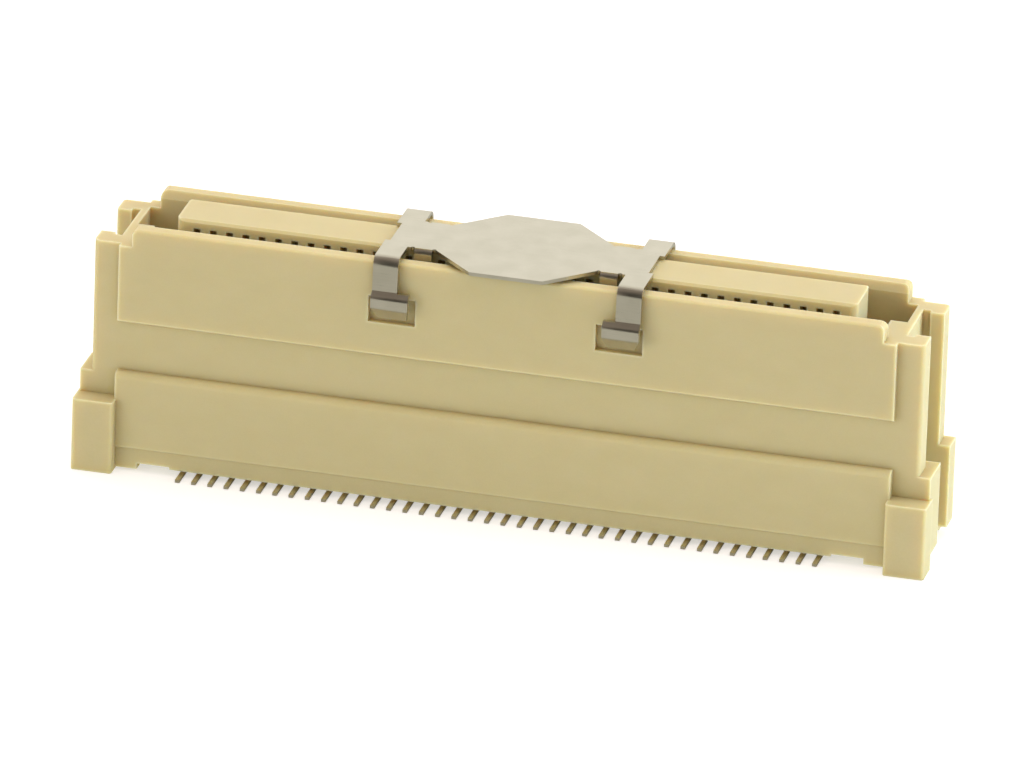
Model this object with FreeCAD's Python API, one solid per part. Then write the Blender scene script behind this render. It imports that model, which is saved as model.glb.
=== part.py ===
import FreeCAD, Part
import math
import os

from FreeCAD import Vector

# A tall surface-mount board-to-board connector, in millimetres.
# X runs along the contact rows, -Y is the front, +Z points away from the board, Z = 0 is the board.
# The part is the same at both ends, so lengths along X are half lengths from the middle.

# contact rows
CONTACTS_PER_ROW = 40
PITCH = 0.8

# housing: lengths along X, from the contact row outwards
TONGUE_MARGIN = 1.0
CAVITY_END_GAP = 1.38
END_POCKET = 0.82
END_WALL = 0.35
PANEL_SETBACK = 0.2
GROOVE_DEPTH = 1.1
BLOCK_STANDOUT = 0.55
FOOT_STANDOUT = 0.08
FOOT_WIDTH = 2.0

# housing: distances along Y, from the middle plane outwards
TONGUE_HALF = 1.3
CAVITY_SIDE_GAP = 0.82
WALL = 0.53
PANEL_RELIEF = 0.35
LEDGE_DEPTH = 0.5
BASE_RELIEF = 0.12
FOOT_REACH = 0.6
FOOT_ROOT = 0.3
FRONT_BLOCK_INNER = 0.6
GROOVE_MOUTH_HALF = 1.43
GROOVE_UNDERCUT = 0.27
GROOVE_UNDERCUT_DEPTH = 0.4
KEY_FACE = -0.1

# housing: heights above the board
PAD_CLEARANCE = 0.12
ROW_CLEARANCE = 0.3
NOTCH_CLEARANCE = 0.42
SKIRT_HEIGHT = 1.25
FOOT_HEIGHT = 3.65
LEDGE_HEIGHT = 5.02
BLOCK_BOTTOM = 0.6
BLOCK_HEIGHT = 4.78
PANEL_BOTTOM = 7.45
FLOOR_HEIGHT = 6.4
WALL_TOP = 12.4
END_STEP = 0.9
TONGUE_RISE = 0.15

# housing: edges
LEDGE_ROUND = 0.32
WALL_ROUND = 0.14
LEAD_IN_WIDTH = 0.24
LEAD_IN_DEPTH = 0.4
STEP_ROUND = 0.34
POST_ROUND = 0.2
FOOT_ROUND = 0.14
TONGUE_CHAMFER = 0.12
TONGUE_CORNER = 0.35
PANEL_SLOPE = 0.2

# underside notches beside the contact rows, measured outwards from the last contact
NOTCH_START = 0.6
NOTCH_LENGTH = 1.6

# contacts: a formed strip, with its clearance in the housing
STRIP = 0.15
CONTACT_WIDTH = 0.22
CONTACT_FIT = 0.03
SLOT_SIDE_GAP = 0.06
STEM_INSET = 0.2
TAIL_BEND = 0.2
BEAM_ROOT_RISE = 0.3
CREST_PROUD = 0.1
CREST_DROP = 0.85
CREST_LENGTH = 0.5
TIP_INSET = 0.22
SLOT_LIP = 0.42
SLOT_DEPTH = 0.75
TIP_BELOW_LIP = 0.5

# pick-up cover: one stamped and folded sheet
SHEET = 0.18
SEAT_GAP = 0.02
PAD_FRONT_HALF = 1.78
PAD_HALF_WIDTH = 3.74
COVER_SHIFT = 0.12

# pick-up cover: lengths along X, from the pad outwards
PAD_HALF_LENGTH = 3.9
TAB_GAP = 0.2
TAB_WIDTH = 0.86
TAB_TO_LEG = 0.36
LEG_WIDTH = 1.22
HOOK_WIDTH = 1.81
END_RECESS = 0.24
END_RECESS_HALF = 1.1

# pick-up cover: legs and hooks, with heights measured down from the cover's underside
LEG_CLEARANCE = 0.16
LEG_BEND = 0.4
LEG_FLARE = 0.08
LEG_DROP = 1.55
HOOK_BULGE = 0.3
HOOK_TOP_DROP = 1.82
HOOK_TURN_DROP = 2.29
HOOK_TIP_DROP = 2.9
HOOK_TIP_CLEARANCE = 0.14
HOOK_ROUND = 0.14

# pick-up cover: guide tabs between tongue and walls
TAB_CLEARANCE = 0.32
TAB_STANDOUT = 0.14
TAB_FOLD = 0.2
TAB_DROP = 1.27
RELIEF_ROUND = 0.1

# hook pockets in the long walls
POCKET_MARGIN = 0.15
POCKET_INNER_MARGIN = 0.34
POCKET_BELOW_TIP = 0.41
POCKET_BELOW_HOOK_TOP = 0.15
POCKET_DEPTH = 0.35

# sizes worked out from the ones above
ROW_HALF = (CONTACTS_PER_ROW - 1) * PITCH / 2
TONGUE_END = ROW_HALF + TONGUE_MARGIN
CAVITY_END = TONGUE_END + CAVITY_END_GAP
POCKET_END = CAVITY_END + END_POCKET
END_FACE = POCKET_END + END_WALL
PANEL_END = END_FACE - PANEL_SETBACK
POST_END = END_FACE + GROOVE_DEPTH
BLOCK_END = POST_END + BLOCK_STANDOUT
FOOT_END = BLOCK_END + FOOT_STANDOUT
CAVITY_HALF = TONGUE_HALF + CAVITY_SIDE_GAP
WAIST_FACE = CAVITY_HALF + WALL
PANEL_FACE = WAIST_FACE + PANEL_RELIEF
BASE_FACE = WAIST_FACE + LEDGE_DEPTH
FOOT_FACE = BASE_FACE + FOOT_REACH
LOW_TOP = WALL_TOP - END_STEP
TONGUE_TOP = WALL_TOP + TONGUE_RISE
SLOT_WIDTH = CONTACT_WIDTH + 2 * SLOT_SIDE_GAP
STEM_OUT = TONGUE_HALF - STEM_INSET
CREST_OUT = TONGUE_HALF + CREST_PROUD
TIP_OUT = TONGUE_HALF - TIP_INSET
BEAM_ROOT = FLOOR_HEIGHT + BEAM_ROOT_RISE
COVER_UNDERSIDE = TONGUE_TOP + SEAT_GAP
TAB_INNER = PAD_HALF_LENGTH + TAB_GAP
TAB_OUTER = TAB_INNER + TAB_WIDTH
LEG_INNER = TAB_OUTER + TAB_TO_LEG
LEG_OUTER = LEG_INNER + LEG_WIDTH
HOOK_INNER = LEG_OUTER - HOOK_WIDTH
COVER_HALF_LENGTH = LEG_OUTER - END_RECESS
TAB_FACE = TONGUE_HALF + TAB_CLEARANCE + SHEET
NECK_HALF_WIDTH = TAB_FACE - TAB_STANDOUT
TAB_BOTTOM = COVER_UNDERSIDE - TAB_DROP
LEG_BOTTOM = COVER_UNDERSIDE - LEG_DROP
HOOK_TOP = COVER_UNDERSIDE - HOOK_TOP_DROP
HOOK_TURN = COVER_UNDERSIDE - HOOK_TURN_DROP
HOOK_TIP = COVER_UNDERSIDE - HOOK_TIP_DROP
POCKET_TOP = HOOK_TOP - POCKET_BELOW_HOOK_TOP
EXTRA = 1.0
TOUCHING = 1e-6


# helpers


def in_plan(z):
    return lambda a, b: Vector(a, b, z)


def in_section(x):
    return lambda a, b: Vector(x, a, b)


def in_elevation(y):
    return lambda a, b: Vector(a, y, b)


def rounded_face(corners, place):
    """A flat face from corners (a, b, radius), each corner rounded by its own radius."""
    ends = []
    edges = []
    for index, (a, b, radius) in enumerate(corners):
        corner = place(a, b)
        if radius <= 0:
            ends.append((corner, corner))
            continue
        before = (place(*corners[index - 1][:2]) - corner).normalize()
        after = (place(*corners[(index + 1) % len(corners)][:2]) - corner).normalize()
        half = before.getAngle(after) / 2
        start = corner + before * (radius / math.tan(half))
        finish = corner + after * (radius / math.tan(half))
        inward = (before + after).normalize()
        middle = corner + inward * (radius / math.sin(half) - radius)
        edges.append(Part.Arc(start, middle, finish).toShape())
        ends.append((start, finish))
    for index, (start, finish) in enumerate(ends):
        previous = ends[index - 1][1]
        if previous.distanceToPoint(start) > TOUCHING:
            edges.append(Part.LineSegment(previous, start).toShape())
    return Part.Face(Part.Wire(Part.__sortEdges__(edges)))


def prism_x(corners, x_from, x_to):
    return rounded_face(corners, in_section(x_from)).extrude(Vector(x_to - x_from, 0, 0))


def prism_y(corners, y_from, y_to):
    return rounded_face(corners, in_elevation(y_from)).extrude(Vector(0, y_to - y_from, 0))


def prism_z(corners, z_from, z_to):
    return rounded_face(corners, in_plan(z_from)).extrude(Vector(0, 0, z_to - z_from))


def slab(x_from, x_to, y_from, y_to, z_from, z_to):
    corner = Vector(x_from, y_from, z_from)
    return Part.makeBox(x_to - x_from, y_to - y_from, z_to - z_from, corner)


def at_both_ends(shape):
    return [shape, shape.mirror(Vector(0, 0, 0), Vector(1, 0, 0))]


def at_both_sides(shape):
    return [shape, shape.mirror(Vector(0, 0, 0), Vector(0, 1, 0))]


def at_four_corners(shape):
    return [copy for side in at_both_sides(shape) for copy in at_both_ends(side)]


def strip_corners(path, thickness):
    """The corners of a bent strip's outline, from its middle line of (a, b, bend radius)."""
    points = [Vector(a, b, 0) for a, b, radius in path]
    runs = [(points[i + 1] - points[i]).normalize() for i in range(len(points) - 1)]
    left = []
    right = []
    for i, (a, b, radius) in enumerate(path):
        before = runs[max(i - 1, 0)]
        after = runs[min(i, len(runs) - 1)]
        across = Vector(-(before + after).y, (before + after).x, 0).normalize()
        reach = thickness / 2 / across.dot(Vector(-before.y, before.x, 0))
        turn = before.x * after.y - before.y * after.x
        inner = max(radius - thickness / 2, 0) if radius > 0 else 0
        outer = radius + thickness / 2 if radius > 0 else 0
        on_left = points[i] + across * reach
        on_right = points[i] - across * reach
        left.append((on_left.x, on_left.y, inner if turn > 0 else outer))
        right.append((on_right.x, on_right.y, outer if turn > 0 else inner))
    return left + right[::-1]


def merged(shapes):
    return shapes[0].multiFuse(shapes[1:]).removeSplitter()


# housing


def waist_and_posts():
    """The plain body between base and panel, with the upright posts at its four corners."""
    corners = []
    for x, y in ((1, -1), (1, 1), (-1, 1), (-1, -1)):
        corners.append((x * POST_END, y * WAIST_FACE, POST_ROUND))
    return prism_z(corners, PAD_CLEARANCE, LOW_TOP)


def base():
    """The thick base: a recessed skirt below, the full face, and a rounded ledge on top."""
    skirt_face = BASE_FACE - BASE_RELIEF
    profile = []
    for side in (-1, 1):
        half = [
            (side * skirt_face, PAD_CLEARANCE, 0),
            (side * skirt_face, SKIRT_HEIGHT - BASE_RELIEF, 0),
            (side * BASE_FACE, SKIRT_HEIGHT, 0),
            (side * BASE_FACE, LEDGE_HEIGHT, LEDGE_ROUND),
        ]
        profile += half if side < 0 else half[::-1]
    return prism_x(profile, -PANEL_END, PANEL_END)


def shroud():
    """The raised outer panels, up to the wall tops, with the step down at each end."""
    profile = []
    for side in (-1, 1):
        half = [
            (side * WAIST_FACE, PANEL_BOTTOM, 0),
            (side * PANEL_FACE, PANEL_BOTTOM + PANEL_SLOPE, 0),
            (side * PANEL_FACE, WALL_TOP, WALL_ROUND),
        ]
        profile += half if side < 0 else half[::-1]
    step = CAVITY_END + STEP_ROUND
    outline = [
        (-PANEL_END, PANEL_BOTTOM, 0),
        (-PANEL_END, LOW_TOP, 0),
        (-step, LOW_TOP, 0),
        (-step, WALL_TOP, STEP_ROUND),
        (step, WALL_TOP, STEP_ROUND),
        (step, LOW_TOP, 0),
        (PANEL_END, LOW_TOP, 0),
        (PANEL_END, PANEL_BOTTOM, 0),
    ]
    silhouette = prism_y(outline, -PANEL_FACE - EXTRA, PANEL_FACE + EXTRA)
    return prism_x(profile, -PANEL_END, PANEL_END).common(silhouette)


def end_blocks():
    """Low blocks beside the posts, standing out past them: deep at the front, narrow at the rear."""
    front = slab(
        END_FACE, BLOCK_END, -WAIST_FACE, -FRONT_BLOCK_INNER, BLOCK_BOTTOM, BLOCK_HEIGHT
    )
    rear = slab(END_FACE, BLOCK_END, GROOVE_MOUTH_HALF, WAIST_FACE, BLOCK_BOTTOM, BLOCK_HEIGHT)
    return at_both_ends(front) + at_both_ends(rear)


def foot(end, side):
    """One foot at the front (side -1) or rear (side 1), with its outer end at the given length."""
    corners = [
        (end - FOOT_WIDTH, side * (WAIST_FACE - FOOT_ROOT), 0),
        (end - FOOT_WIDTH, side * FOOT_FACE, FOOT_ROUND),
        (end, side * FOOT_FACE, FOOT_ROUND),
        (end, side * (WAIST_FACE - FOOT_ROOT), 0),
    ]
    return prism_z(corners, 0, FOOT_HEIGHT)


def feet():
    """Four feet, which stand on the board: the rear ones end flush with the posts."""
    return at_both_ends(foot(FOOT_END, -1)) + at_both_ends(foot(POST_END, 1))


def mouth_profile(bottom):
    """The cavity's outline across the rows, wider at the top."""
    half = [
        (CAVITY_HALF + LEAD_IN_WIDTH, WALL_TOP + EXTRA, 0),
        (CAVITY_HALF + LEAD_IN_WIDTH, WALL_TOP, 0),
        (CAVITY_HALF, WALL_TOP - LEAD_IN_DEPTH, 0),
        (CAVITY_HALF, bottom, 0),
    ]
    return half + [(-a, b, radius) for a, b, radius in half[::-1]]


def cavity():
    """The mating mouth, with a key block left at the front of each end."""
    trough = prism_x(mouth_profile(FLOOR_HEIGHT), -CAVITY_END, CAVITY_END)
    pockets = slab(-POCKET_END, POCKET_END, KEY_FACE, CAVITY_HALF, FLOOR_HEIGHT, WALL_TOP + EXTRA)
    above_key = prism_x(mouth_profile(LOW_TOP), -CAVITY_END - STEP_ROUND, CAVITY_END + STEP_ROUND)
    return merged([trough, pockets, above_key])


def tongue():
    """The central tongue that carries both contact rows."""
    profile = [
        (-TONGUE_HALF, FLOOR_HEIGHT - EXTRA, 0),
        (-TONGUE_HALF, TONGUE_TOP - TONGUE_CHAMFER, 0),
        (-TONGUE_HALF + TONGUE_CHAMFER, TONGUE_TOP, 0),
        (TONGUE_HALF - TONGUE_CHAMFER, TONGUE_TOP, 0),
        (TONGUE_HALF, TONGUE_TOP - TONGUE_CHAMFER, 0),
        (TONGUE_HALF, FLOOR_HEIGHT - EXTRA, 0),
    ]
    plan = []
    for x, y in ((1, -1), (1, 1), (-1, 1), (-1, -1)):
        plan.append((x * TONGUE_END, y * TONGUE_HALF, TONGUE_CORNER))
    bar = prism_x(profile, -TONGUE_END, TONGUE_END)
    return bar.common(prism_z(plan, FLOOR_HEIGHT - EXTRA, TONGUE_TOP + EXTRA))


def contact_ways():
    """For each contact, a slot in the tongue and a passage down through the base."""
    stem_in = STEM_OUT - STRIP / 2 - CONTACT_FIT
    stem_out = STEM_OUT + STRIP / 2 + CONTACT_FIT
    slot_back = TONGUE_HALF - SLOT_DEPTH
    profile = [
        (stem_in, PAD_CLEARANCE - EXTRA, 0),
        (stem_in, FLOOR_HEIGHT, 0),
        (slot_back, FLOOR_HEIGHT, 0),
        (slot_back, TONGUE_TOP - SLOT_LIP, 0),
        (TONGUE_HALF + EXTRA / 2, TONGUE_TOP - SLOT_LIP, 0),
        (TONGUE_HALF + EXTRA / 2, FLOOR_HEIGHT, 0),
        (stem_out, FLOOR_HEIGHT, 0),
        (stem_out, PAD_CLEARANCE - EXTRA, 0),
    ]
    ways = []
    for x in contact_positions():
        ways += at_both_sides(prism_x(profile, x - SLOT_WIDTH / 2, x + SLOT_WIDTH / 2))
    return ways


def underside_cuts():
    """The raised underside over the tails, and a deeper notch beyond each end of the rows."""
    notch_start = ROW_HALF + NOTCH_START
    notch_end = notch_start + NOTCH_LENGTH
    below = -EXTRA
    row = slab(-notch_start, notch_start, -BASE_FACE, BASE_FACE, below, ROW_CLEARANCE)
    notch = slab(notch_start, notch_end, -BASE_FACE, BASE_FACE, below, NOTCH_CLEARANCE)
    return [row] + at_both_ends(notch)


def end_grooves():
    """The undercut groove between the posts at each end, and the gap between the blocks."""
    undercut_half = GROOVE_MOUTH_HALF + GROOVE_UNDERCUT
    undercut_end = END_FACE + GROOVE_UNDERCUT_DEPTH
    corners = [
        (END_FACE, -undercut_half, 0),
        (undercut_end, -undercut_half, GROOVE_UNDERCUT / 2),
        (undercut_end, -GROOVE_MOUTH_HALF, 0),
        (FOOT_END + EXTRA, -GROOVE_MOUTH_HALF, 0),
        (FOOT_END + EXTRA, GROOVE_MOUTH_HALF, 0),
        (undercut_end, GROOVE_MOUTH_HALF, 0),
        (undercut_end, undercut_half, GROOVE_UNDERCUT / 2),
        (END_FACE, undercut_half, 0),
    ]
    above = prism_z(corners, BLOCK_HEIGHT, LOW_TOP + EXTRA)
    between = slab(
        END_FACE, FOOT_END + EXTRA, -FRONT_BLOCK_INNER, GROOVE_MOUTH_HALF, -EXTRA, LOW_TOP
    )
    return at_both_ends(above) + at_both_ends(between)


def hook_pockets():
    """Shallow pockets in the long walls, which the cover's hooks snap into."""
    inner = HOOK_INNER - POCKET_INNER_MARGIN
    outer = LEG_OUTER + POCKET_MARGIN
    bottom = HOOK_TIP - POCKET_BELOW_TIP
    back = PANEL_FACE - POCKET_DEPTH
    return at_four_corners(slab(inner, outer, back, PANEL_FACE + EXTRA, bottom, POCKET_TOP))


def housing():
    solids = [waist_and_posts(), base(), shroud()] + end_blocks() + feet()
    body = merged(solids).cut(merged([cavity()] + end_grooves()))
    body = body.cut(underside_cuts() + hook_pockets())
    body = merged([body, tongue()])
    return body.cut(contact_ways())


# contacts


def contact_positions():
    return [index * PITCH - ROW_HALF for index in range(CONTACTS_PER_ROW)]


def contact(x):
    """A rear contact: tail on the board, stem through the base, bowed beam in its slot."""
    tip_height = TONGUE_TOP - SLOT_LIP - TIP_BELOW_LIP
    crest_height = tip_height - CREST_DROP
    path = [
        (FOOT_FACE, STRIP / 2, 0),
        (STEM_OUT + TAIL_BEND, STRIP / 2, 0),
        (STEM_OUT, STRIP / 2 + TAIL_BEND, 0),
        (STEM_OUT, BEAM_ROOT, 0),
        (CREST_OUT, crest_height - CREST_LENGTH / 2, 0),
        (CREST_OUT, crest_height + CREST_LENGTH / 2, 0),
        (TIP_OUT, tip_height, 0),
    ]
    half = CONTACT_WIDTH / 2
    return prism_x(strip_corners(path, STRIP), x - half, x + half)


# pick-up cover


def cover_plate():
    """The flat top: an eight-sided pad between two necks, and a bar with two legs at each end."""
    pad = []
    for x, y in ((1, -1), (1, 1), (-1, 1), (-1, -1)):
        wide = (x * PAD_FRONT_HALF, y * PAD_HALF_WIDTH, 0)
        narrow = (x * PAD_HALF_LENGTH, y * NECK_HALF_WIDTH, 0)
        pad += [wide, narrow] if x * y < 0 else [narrow, wide]
    low = COVER_UNDERSIDE
    high = COVER_UNDERSIDE + SHEET
    neck = slab(
        -COVER_HALF_LENGTH, COVER_HALF_LENGTH, -NECK_HALF_WIDTH, NECK_HALF_WIDTH, low, high
    )
    legs = slab(LEG_INNER, LEG_OUTER, END_RECESS_HALF, leg_middle() - LEG_BEND, low, high)
    relief = Part.makeCylinder(RELIEF_ROUND, SHEET, Vector(0, NECK_HALF_WIDTH, low))
    reliefs = []
    for x in (TAB_INNER - RELIEF_ROUND, TAB_OUTER + RELIEF_ROUND):
        reliefs += at_four_corners(relief.translated(Vector(x, 0, 0)))
    plate = merged([prism_z(pad, low, high), neck] + at_four_corners(legs))
    return plate.cut(reliefs)


def leg_middle():
    return PANEL_FACE + LEG_CLEARANCE + SHEET / 2


def leg_and_hook():
    """A leg folded down outside the wall, ending in a hook that bulges out and turns back in."""
    top = COVER_UNDERSIDE + SHEET / 2
    bottom_out = leg_middle() + LEG_FLARE
    bulge_out = bottom_out + HOOK_BULGE
    path = [
        (leg_middle() - LEG_BEND - SHEET, top, 0),
        (leg_middle(), top, LEG_BEND),
        (bottom_out, LEG_BOTTOM, 0),
        (bulge_out, HOOK_TOP, HOOK_ROUND),
        (bulge_out, HOOK_TURN, HOOK_ROUND),
        (PANEL_FACE + HOOK_TIP_CLEARANCE, HOOK_TIP, 0),
    ]
    outline = [
        (LEG_INNER, top + EXTRA, 0),
        (LEG_OUTER, top + EXTRA, 0),
        (LEG_OUTER, HOOK_TURN, 0),
        (LEG_OUTER - SHEET * 2, HOOK_TIP - SHEET, 0),
        (HOOK_INNER + SHEET, HOOK_TIP - SHEET, 0),
        (HOOK_INNER, HOOK_TURN, 0),
        (HOOK_INNER, LEG_BOTTOM, 0),
        (LEG_INNER, LEG_BOTTOM, 0),
    ]
    front = prism_y(outline, 0, bulge_out + EXTRA)
    return prism_x(strip_corners(path, SHEET), HOOK_INNER, LEG_OUTER).common(front)


def guide_tab():
    """A short tab folded down between the tongue and the wall."""
    top = COVER_UNDERSIDE + SHEET / 2
    path = [
        (NECK_HALF_WIDTH - TAB_FOLD - SHEET, top, 0),
        (TAB_FACE - SHEET / 2, top, TAB_FOLD),
        (TAB_FACE - SHEET / 2, TAB_BOTTOM, 0),
    ]
    return prism_x(strip_corners(path, SHEET), TAB_INNER, TAB_OUTER)


def pickup_cover():
    folded = at_four_corners(leg_and_hook()) + at_four_corners(guide_tab())
    return merged([cover_plate()] + folded).translated(Vector(COVER_SHIFT, 0, 0))


def export(shape, name):
    shape.exportStep("parts/" + name + ".step")


def main():
    os.makedirs("parts", exist_ok=True)
    export(housing(), "housing")
    export(pickup_cover(), "pickup_cover")
    for index, x in enumerate(contact_positions()):
        pair = Part.makeCompound(at_both_sides(contact(x)))
        export(pair, "contact_pair_%02d" % (index + 1))


main()
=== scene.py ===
"""The looks of the mezzanine connector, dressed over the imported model."""

import math

import bpy
from mathutils import Matrix, Vector


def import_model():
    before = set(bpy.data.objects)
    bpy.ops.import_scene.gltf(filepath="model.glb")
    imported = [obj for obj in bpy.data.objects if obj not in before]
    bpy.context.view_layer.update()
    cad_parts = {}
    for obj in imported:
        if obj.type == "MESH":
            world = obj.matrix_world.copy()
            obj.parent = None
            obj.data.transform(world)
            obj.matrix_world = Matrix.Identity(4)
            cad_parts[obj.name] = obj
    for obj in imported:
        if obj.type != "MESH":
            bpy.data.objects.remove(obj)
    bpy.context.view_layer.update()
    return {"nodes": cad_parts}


MM = 0.001

# Camera: a long lens a little to the right of the front and above it.
VIEW_AZIMUTH = 13.503
VIEW_ELEVATION = 23.003
VIEW_ROLL = -2.026
VIEW_DISTANCE = 837.6 * MM
VIEW_AIM = Vector((-0.2785, 0.0, 5.6947)) * MM
LENS = 620.16

# The room that metal reflects: bright behind the part and dark in front, where ROOM_FRONT points.
ROOM_FRONT = (0.0, -0.94, 0.34)
ROOM_BACK_TO_FRONT = (
    (0.0, (1.2, 1.19, 1.14)),
    (0.4, (1.05, 1.03, 0.98)),
    (0.58, (0.55, 0.5, 0.47)),
    (0.7, (0.3, 0.25, 0.22)),
    (0.88, (0.2, 0.17, 0.15)),
    (0.96, (0.06, 0.055, 0.05)),
)

# The plastic: its tones, a painted highlight at outer edges and painted shade in corners.
PLASTIC_TONES = ((0.3, (0.60, 0.53, 0.285)), (0.7, (0.62, 0.55, 0.305)))
# Painted highlight: a paler tint laid on the plastic at its outer edges.
EDGE_HIGHLIGHT_TINT = (0.80, 0.75, 0.50)
EDGE_HIGHLIGHT_FADE = ((0.05, (0.0, 0.0, 0.0)), (0.5, (0.6, 0.6, 0.6)))
EDGE_HIGHLIGHT_REACH = 0.14 * MM
# Painted shade: a darker, browner tint laid in corners and creases.
CORNER_SHADE_TINT = (0.93, 0.84, 0.66)
CORNER_SHADE_REACH = 0.5 * MM

# The metals' tones.
STEEL_TONES = ((0.3, (0.60, 0.565, 0.455)), (0.7, (0.66, 0.62, 0.51)))
ALLOY_TONES = ((0.3, (0.68, 0.62, 0.46)), (0.7, (0.80, 0.74, 0.56)))

# How far the hard edges are rounded.
HOUSING_SOFTNESS = 0.07 * MM
COVER_SOFTNESS = 0.02 * MM

# The floor: its paint, its look in reflections, its fill light and its lift for the camera.
FLOOR_HALF_SIDE = 1.6
FLOOR_DROP = 0.01 * MM
FLOOR_PAINT = (0.7, 0.7, 0.7)
FLOOR_IN_REFLECTIONS = (0.50, 0.53, 0.51)
FLOOR_GLOW = (0.36, 0.375, 0.375)
FLOOR_FOR_CAMERA = (0.5, 0.5, 0.5)

# The sky that lights the part, by height above the horizon and from the back to the front.
SKY_BY_HEIGHT = ((0.0, (0.29, 0.39, 0.45)), (0.35, (0.54, 0.50, 0.48)), (1.0, (0.86, 0.72, 0.61)))
SKY_BACK_TO_FRONT = ((0.0, (1.5, 1.5, 1.5)), (0.5, (1.0, 1.0, 1.0)), (1.0, (1.0, 1.0, 1.0)))


def grey(level):
    return (level, level, level)


def set_inputs(node, **values):
    for name, value in values.items():
        node.inputs[name.replace("_", " ")].default_value = value


class Tree:
    """A node tree, with short calls that add nodes and link them."""

    def __init__(self, tree):
        self.nodes = tree.nodes
        self.links = tree.links

    def add(self, kind, **settings):
        node = self.nodes.new(kind)
        for name, value in settings.items():
            setattr(node, name, value)
        return node

    def link(self, source, target):
        self.links.new(source, target)

    def place(self, stretch=(1.0, 1.0, 1.0)):
        """Coordinates on the part in millimetres, times a stretch on each axis."""
        coordinates = self.add("ShaderNodeTexCoord")
        mapping = self.add("ShaderNodeMapping")
        mapping.inputs["Scale"].default_value = [1.0 / MM * s for s in stretch]
        self.link(coordinates.outputs["Object"], mapping.inputs["Vector"])
        return mapping.outputs["Vector"]

    def noise(self, place, scale, detail=3.0, roughness=0.5):
        node = self.add("ShaderNodeTexNoise")
        set_inputs(node, Scale=scale, Detail=detail, Roughness=roughness)
        self.link(place, node.inputs["Vector"])
        return node.outputs["Fac"]

    def ramp(self, value, stops):
        """A colour that follows value through (position, colour) stops."""
        node = self.add("ShaderNodeValToRGB")
        elements = node.color_ramp.elements
        while len(elements) < len(stops):
            elements.new(0.5)
        for element, (position, colour) in zip(elements, stops):
            element.position = position
            element.color = (*colour, 1.0)
        self.link(value, node.inputs["Fac"])
        return node.outputs["Color"]

    def math(self, operation, *values):
        node = self.add("ShaderNodeMath", operation=operation)
        for socket, value in zip(node.inputs, values):
            if isinstance(value, (int, float)):
                socket.default_value = value
            else:
                self.link(value, socket)
        return node.outputs["Value"]

    def blend(self, mode, factor, a, b):
        node = self.add("ShaderNodeMix", data_type="RGBA", blend_type=mode)
        for socket, value in ((node.inputs[0], factor), (node.inputs[6], a), (node.inputs[7], b)):
            if isinstance(value, (int, float)):
                socket.default_value = value
            elif isinstance(value, tuple):
                socket.default_value = (*value, 1.0)
            else:
                self.link(value, socket)
        return node.outputs[2]


class Shader(Tree):
    """A material's node tree."""

    def __init__(self, name):
        self.material = bpy.data.materials.new(name)
        self.material.use_nodes = True
        super().__init__(self.material.node_tree)
        self.surface = self.nodes["Principled BSDF"]

    def nearness(self, reach, inside):
        """How close other faces are: within the solid at outer edges, outside it in corners."""
        node = self.add("ShaderNodeAmbientOcclusion", inside=inside, samples=4)
        set_inputs(node, Distance=reach)
        return self.math("SUBTRACT", 1.0, node.outputs["AO"])

    def bump(self, height, strength, distance):
        node = self.add("ShaderNodeBump")
        set_inputs(node, Strength=strength, Distance=distance)
        self.link(height, node.inputs["Height"])
        self.link(node.outputs["Normal"], self.surface.inputs["Normal"])


def plastic():
    """Natural beige moulded plastic: satin, translucent, with faint clouds, a painted highlight at
    outer edges and painted shade in corners.
    """
    s = Shader("housing_plastic")
    clouds = s.noise(s.place((0.6, 1.0, 1.0)), 0.9, 4.0, 0.6)
    speckle = s.noise(s.place(), 14.0, 2.0, 0.6)
    colour = s.ramp(clouds, PLASTIC_TONES)
    fine = s.ramp(speckle, [(0.3, (0.965, 0.965, 0.96)), (0.7, (1.0, 1.0, 1.0))])
    colour = s.blend("MULTIPLY", 1.0, colour, fine)
    # Painted highlight: the outer edges are paled where the solid is thin.
    painted_edge_highlight = s.ramp(s.nearness(EDGE_HIGHLIGHT_REACH, inside=True), EDGE_HIGHLIGHT_FADE)
    colour = s.blend("MIX", painted_edge_highlight, colour, EDGE_HIGHLIGHT_TINT)
    # Painted shade: the colour is darkened and browned where other faces are near.
    colour = s.blend("MULTIPLY", s.nearness(CORNER_SHADE_REACH, inside=False), colour, CORNER_SHADE_TINT)
    s.link(colour, s.surface.inputs["Base Color"])
    rough = s.ramp(speckle, [(0.2, grey(0.50)), (0.8, grey(0.62))])
    s.link(rough, s.surface.inputs["Roughness"])
    set_inputs(s.surface, Subsurface_Weight=0.8, Subsurface_Scale=1.0 * MM, IOR=1.5)
    s.surface.inputs["Subsurface Radius"].default_value = (1.0, 0.72, 0.4)
    s.bump(s.noise(s.place(), 22.0, 3.0), 0.25, 0.01 * MM)
    return s.material


def steel():
    """Rolled stainless sheet with a fine grain along the rows."""
    s = Shader("cover_steel")
    grain = s.noise(s.place((0.6, 22.0, 22.0)), 1.0, 3.0, 0.6)
    clouds = s.noise(s.place(), 0.8, 3.0, 0.5)
    colour = s.ramp(clouds, STEEL_TONES)
    streaks = s.ramp(grain, [(0.3, (0.93, 0.93, 0.925)), (0.7, (1.0, 1.0, 1.0))])
    s.link(s.blend("MULTIPLY", 1.0, colour, streaks), s.surface.inputs["Base Color"])
    rough = s.ramp(grain, [(0.25, grey(0.26)), (0.75, grey(0.38))])
    s.link(rough, s.surface.inputs["Roughness"])
    set_inputs(s.surface, Metallic=1.0)
    s.bump(grain, 0.15, 0.004 * MM)
    return s.material


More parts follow.
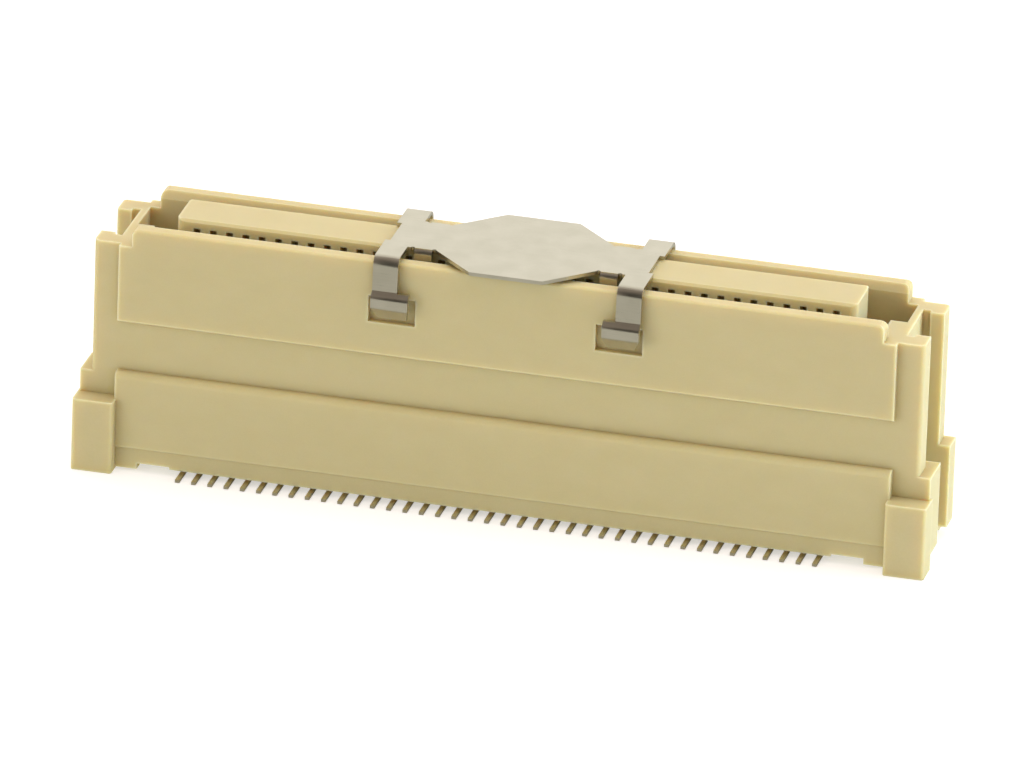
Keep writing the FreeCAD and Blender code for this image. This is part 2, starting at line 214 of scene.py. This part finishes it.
def alloy():
    """Plated copper alloy, dull and a little uneven in tone."""
    s = Shader("contact_alloy")
    grain = s.noise(s.place(), 9.0, 3.0, 0.6)
    s.link(s.ramp(grain, ALLOY_TONES), s.surface.inputs["Base Color"])
    rough = s.ramp(grain, [(0.3, grey(0.34)), (0.7, grey(0.48))])
    s.link(rough, s.surface.inputs["Roughness"])
    set_inputs(s.surface, Metallic=1.0)
    s.bump(grain, 0.2, 0.006 * MM)
    return s.material


def dress(nodes):
    looks = {"housing": plastic(), "pickup_cover": steel(), "contact": alloy()}
    for name, node in nodes.items():
        kind = "contact" if name.startswith("contact") else name
        node.data.materials.clear()
        node.data.materials.append(looks[kind])


def soften_edges(node, width):
    """Rounds the node's hard edges a little, so that they catch the light."""
    weld = node.modifiers.new("weld", "WELD")
    weld.merge_threshold = 0.0005 * MM
    bevel = node.modifiers.new("soft edges", "BEVEL")
    bevel.width = width
    bevel.segments = 2
    bevel.limit_method = "ANGLE"
    bevel.angle_limit = math.radians(32)
    bevel.harden_normals = True


def area_light(name, place, aim, size, power, colour=(1.0, 1.0, 1.0)):
    """A rectangular light, which doesn't show in reflections."""
    light = bpy.data.lights.new(name, "AREA")
    light.shape = "RECTANGLE"
    light.size, light.size_y = size
    light.energy = power
    light.color = colour
    holder = bpy.data.objects.new(name, light)
    holder.visible_glossy = False
    holder.location = place
    holder.rotation_euler = (Vector(aim) - Vector(place)).to_track_quat("-Z", "Y").to_euler()
    bpy.context.scene.collection.objects.link(holder)


def light_the_studio():
    area_light("overhead", (0.0, 0.10, 0.45), (0, 0, 0), (0.5, 0.4), 1.0, (1.0, 0.94, 0.92))
    area_light("right side", (0.45, 0.08, 0.12), (0, 0, 0.005), (0.3, 0.25), 1.6, (0.84, 1.0, 1.2))
    area_light("front left", (-0.38, -0.38, 0.16), (0, 0, 0.006), (0.35, 0.3), 0.7)


def surround():
    """White for the camera, a dark-fronted room for reflections, a soft sky for the rest."""
    world = bpy.data.worlds.new("studio")
    bpy.context.scene.world = world
    world.use_nodes = True
    s = Tree(world.node_tree)
    direction = s.add("ShaderNodeTexCoord").outputs["Generated"]
    facing = s.add("ShaderNodeVectorMath", operation="DOT_PRODUCT")
    facing.inputs[1].default_value = ROOM_FRONT
    s.link(direction, facing.inputs[0])
    room_place = s.math("MULTIPLY_ADD", facing.outputs["Value"], 0.5, 0.5)
    room = s.ramp(room_place, ROOM_BACK_TO_FRONT)
    across = s.add("ShaderNodeSeparateXYZ")
    s.link(direction, across.inputs["Vector"])
    sky = s.ramp(across.outputs["Z"], SKY_BY_HEIGHT)
    forward = s.math("MULTIPLY_ADD", across.outputs["Y"], -0.5, 0.5)
    sky = s.blend("MULTIPLY", 1.0, sky, s.ramp(forward, SKY_BACK_TO_FRONT))
    rays = s.add("ShaderNodeLightPath")
    colour = s.blend("MIX", rays.outputs["Is Glossy Ray"], sky, room)
    colour = s.blend("MIX", rays.outputs["Is Camera Ray"], colour, (1.0, 1.0, 1.0))
    s.link(colour, s.nodes["Background"].inputs["Color"])
    s.nodes["Background"].inputs["Strength"].default_value = 1.0


def floor():
    """A plain pale floor, whose shadow stays, a hair below the feet."""
    side = FLOOR_HALF_SIDE
    mesh = bpy.data.meshes.new("floor")
    corners = [(-side, -side, 0), (side, -side, 0), (side, side, 0), (-side, side, 0)]
    mesh.from_pydata(corners, [], [(0, 1, 2, 3)])
    plane = bpy.data.objects.new("floor", mesh)
    plane.location.z = -FLOOR_DROP
    bpy.context.scene.collection.objects.link(plane)
    s = Shader("floor_white")
    rays = s.add("ShaderNodeLightPath").outputs
    paint = s.blend("MIX", rays["Is Glossy Ray"], FLOOR_PAINT, FLOOR_IN_REFLECTIONS)
    s.link(paint, s.surface.inputs["Base Color"])
    set_inputs(s.surface, Roughness=0.9)
    glow = s.blend("MIX", rays["Is Diffuse Ray"], (0.0, 0.0, 0.0), FLOOR_GLOW)
    glow = s.blend("MIX", rays["Is Camera Ray"], glow, FLOOR_FOR_CAMERA)
    s.link(glow, s.surface.inputs["Emission Color"])
    set_inputs(s.surface, Emission_Strength=1.0)
    mesh.materials.append(s.material)


def camera():
    """The camera, turned by azimuth, elevation and roll about the point it aims at."""
    azimuth, elevation, roll = map(math.radians, (VIEW_AZIMUTH, VIEW_ELEVATION, VIEW_ROLL))
    back = Vector((math.sin(azimuth) * math.cos(elevation),
                   -math.cos(azimuth) * math.cos(elevation),
                   math.sin(elevation)))
    level = Vector((math.cos(azimuth), math.sin(azimuth), 0.0))
    upright = back.cross(level)
    right = level * math.cos(roll) - upright * math.sin(roll)
    up = level * math.sin(roll) + upright * math.cos(roll)
    lens = bpy.data.cameras.new("camera")
    lens.lens = LENS
    lens.sensor_width = 36.0
    lens.clip_start = 0.1
    lens.clip_end = 10.0
    holder = bpy.data.objects.new("camera", lens)
    turn = Matrix((right, up, back)).transposed().to_4x4()
    holder.matrix_world = Matrix.Translation(VIEW_AIM + back * VIEW_DISTANCE) @ turn
    bpy.context.scene.collection.objects.link(holder)
    bpy.context.scene.camera = holder


def main():
    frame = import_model()
    nodes = frame["nodes"]
    dress(nodes)
    soften_edges(nodes["housing"], HOUSING_SOFTNESS)
    soften_edges(nodes["pickup_cover"], COVER_SOFTNESS)
    floor()
    surround()
    light_the_studio()
    camera()
    bpy.context.scene.view_settings.view_transform = "Standard"


main()
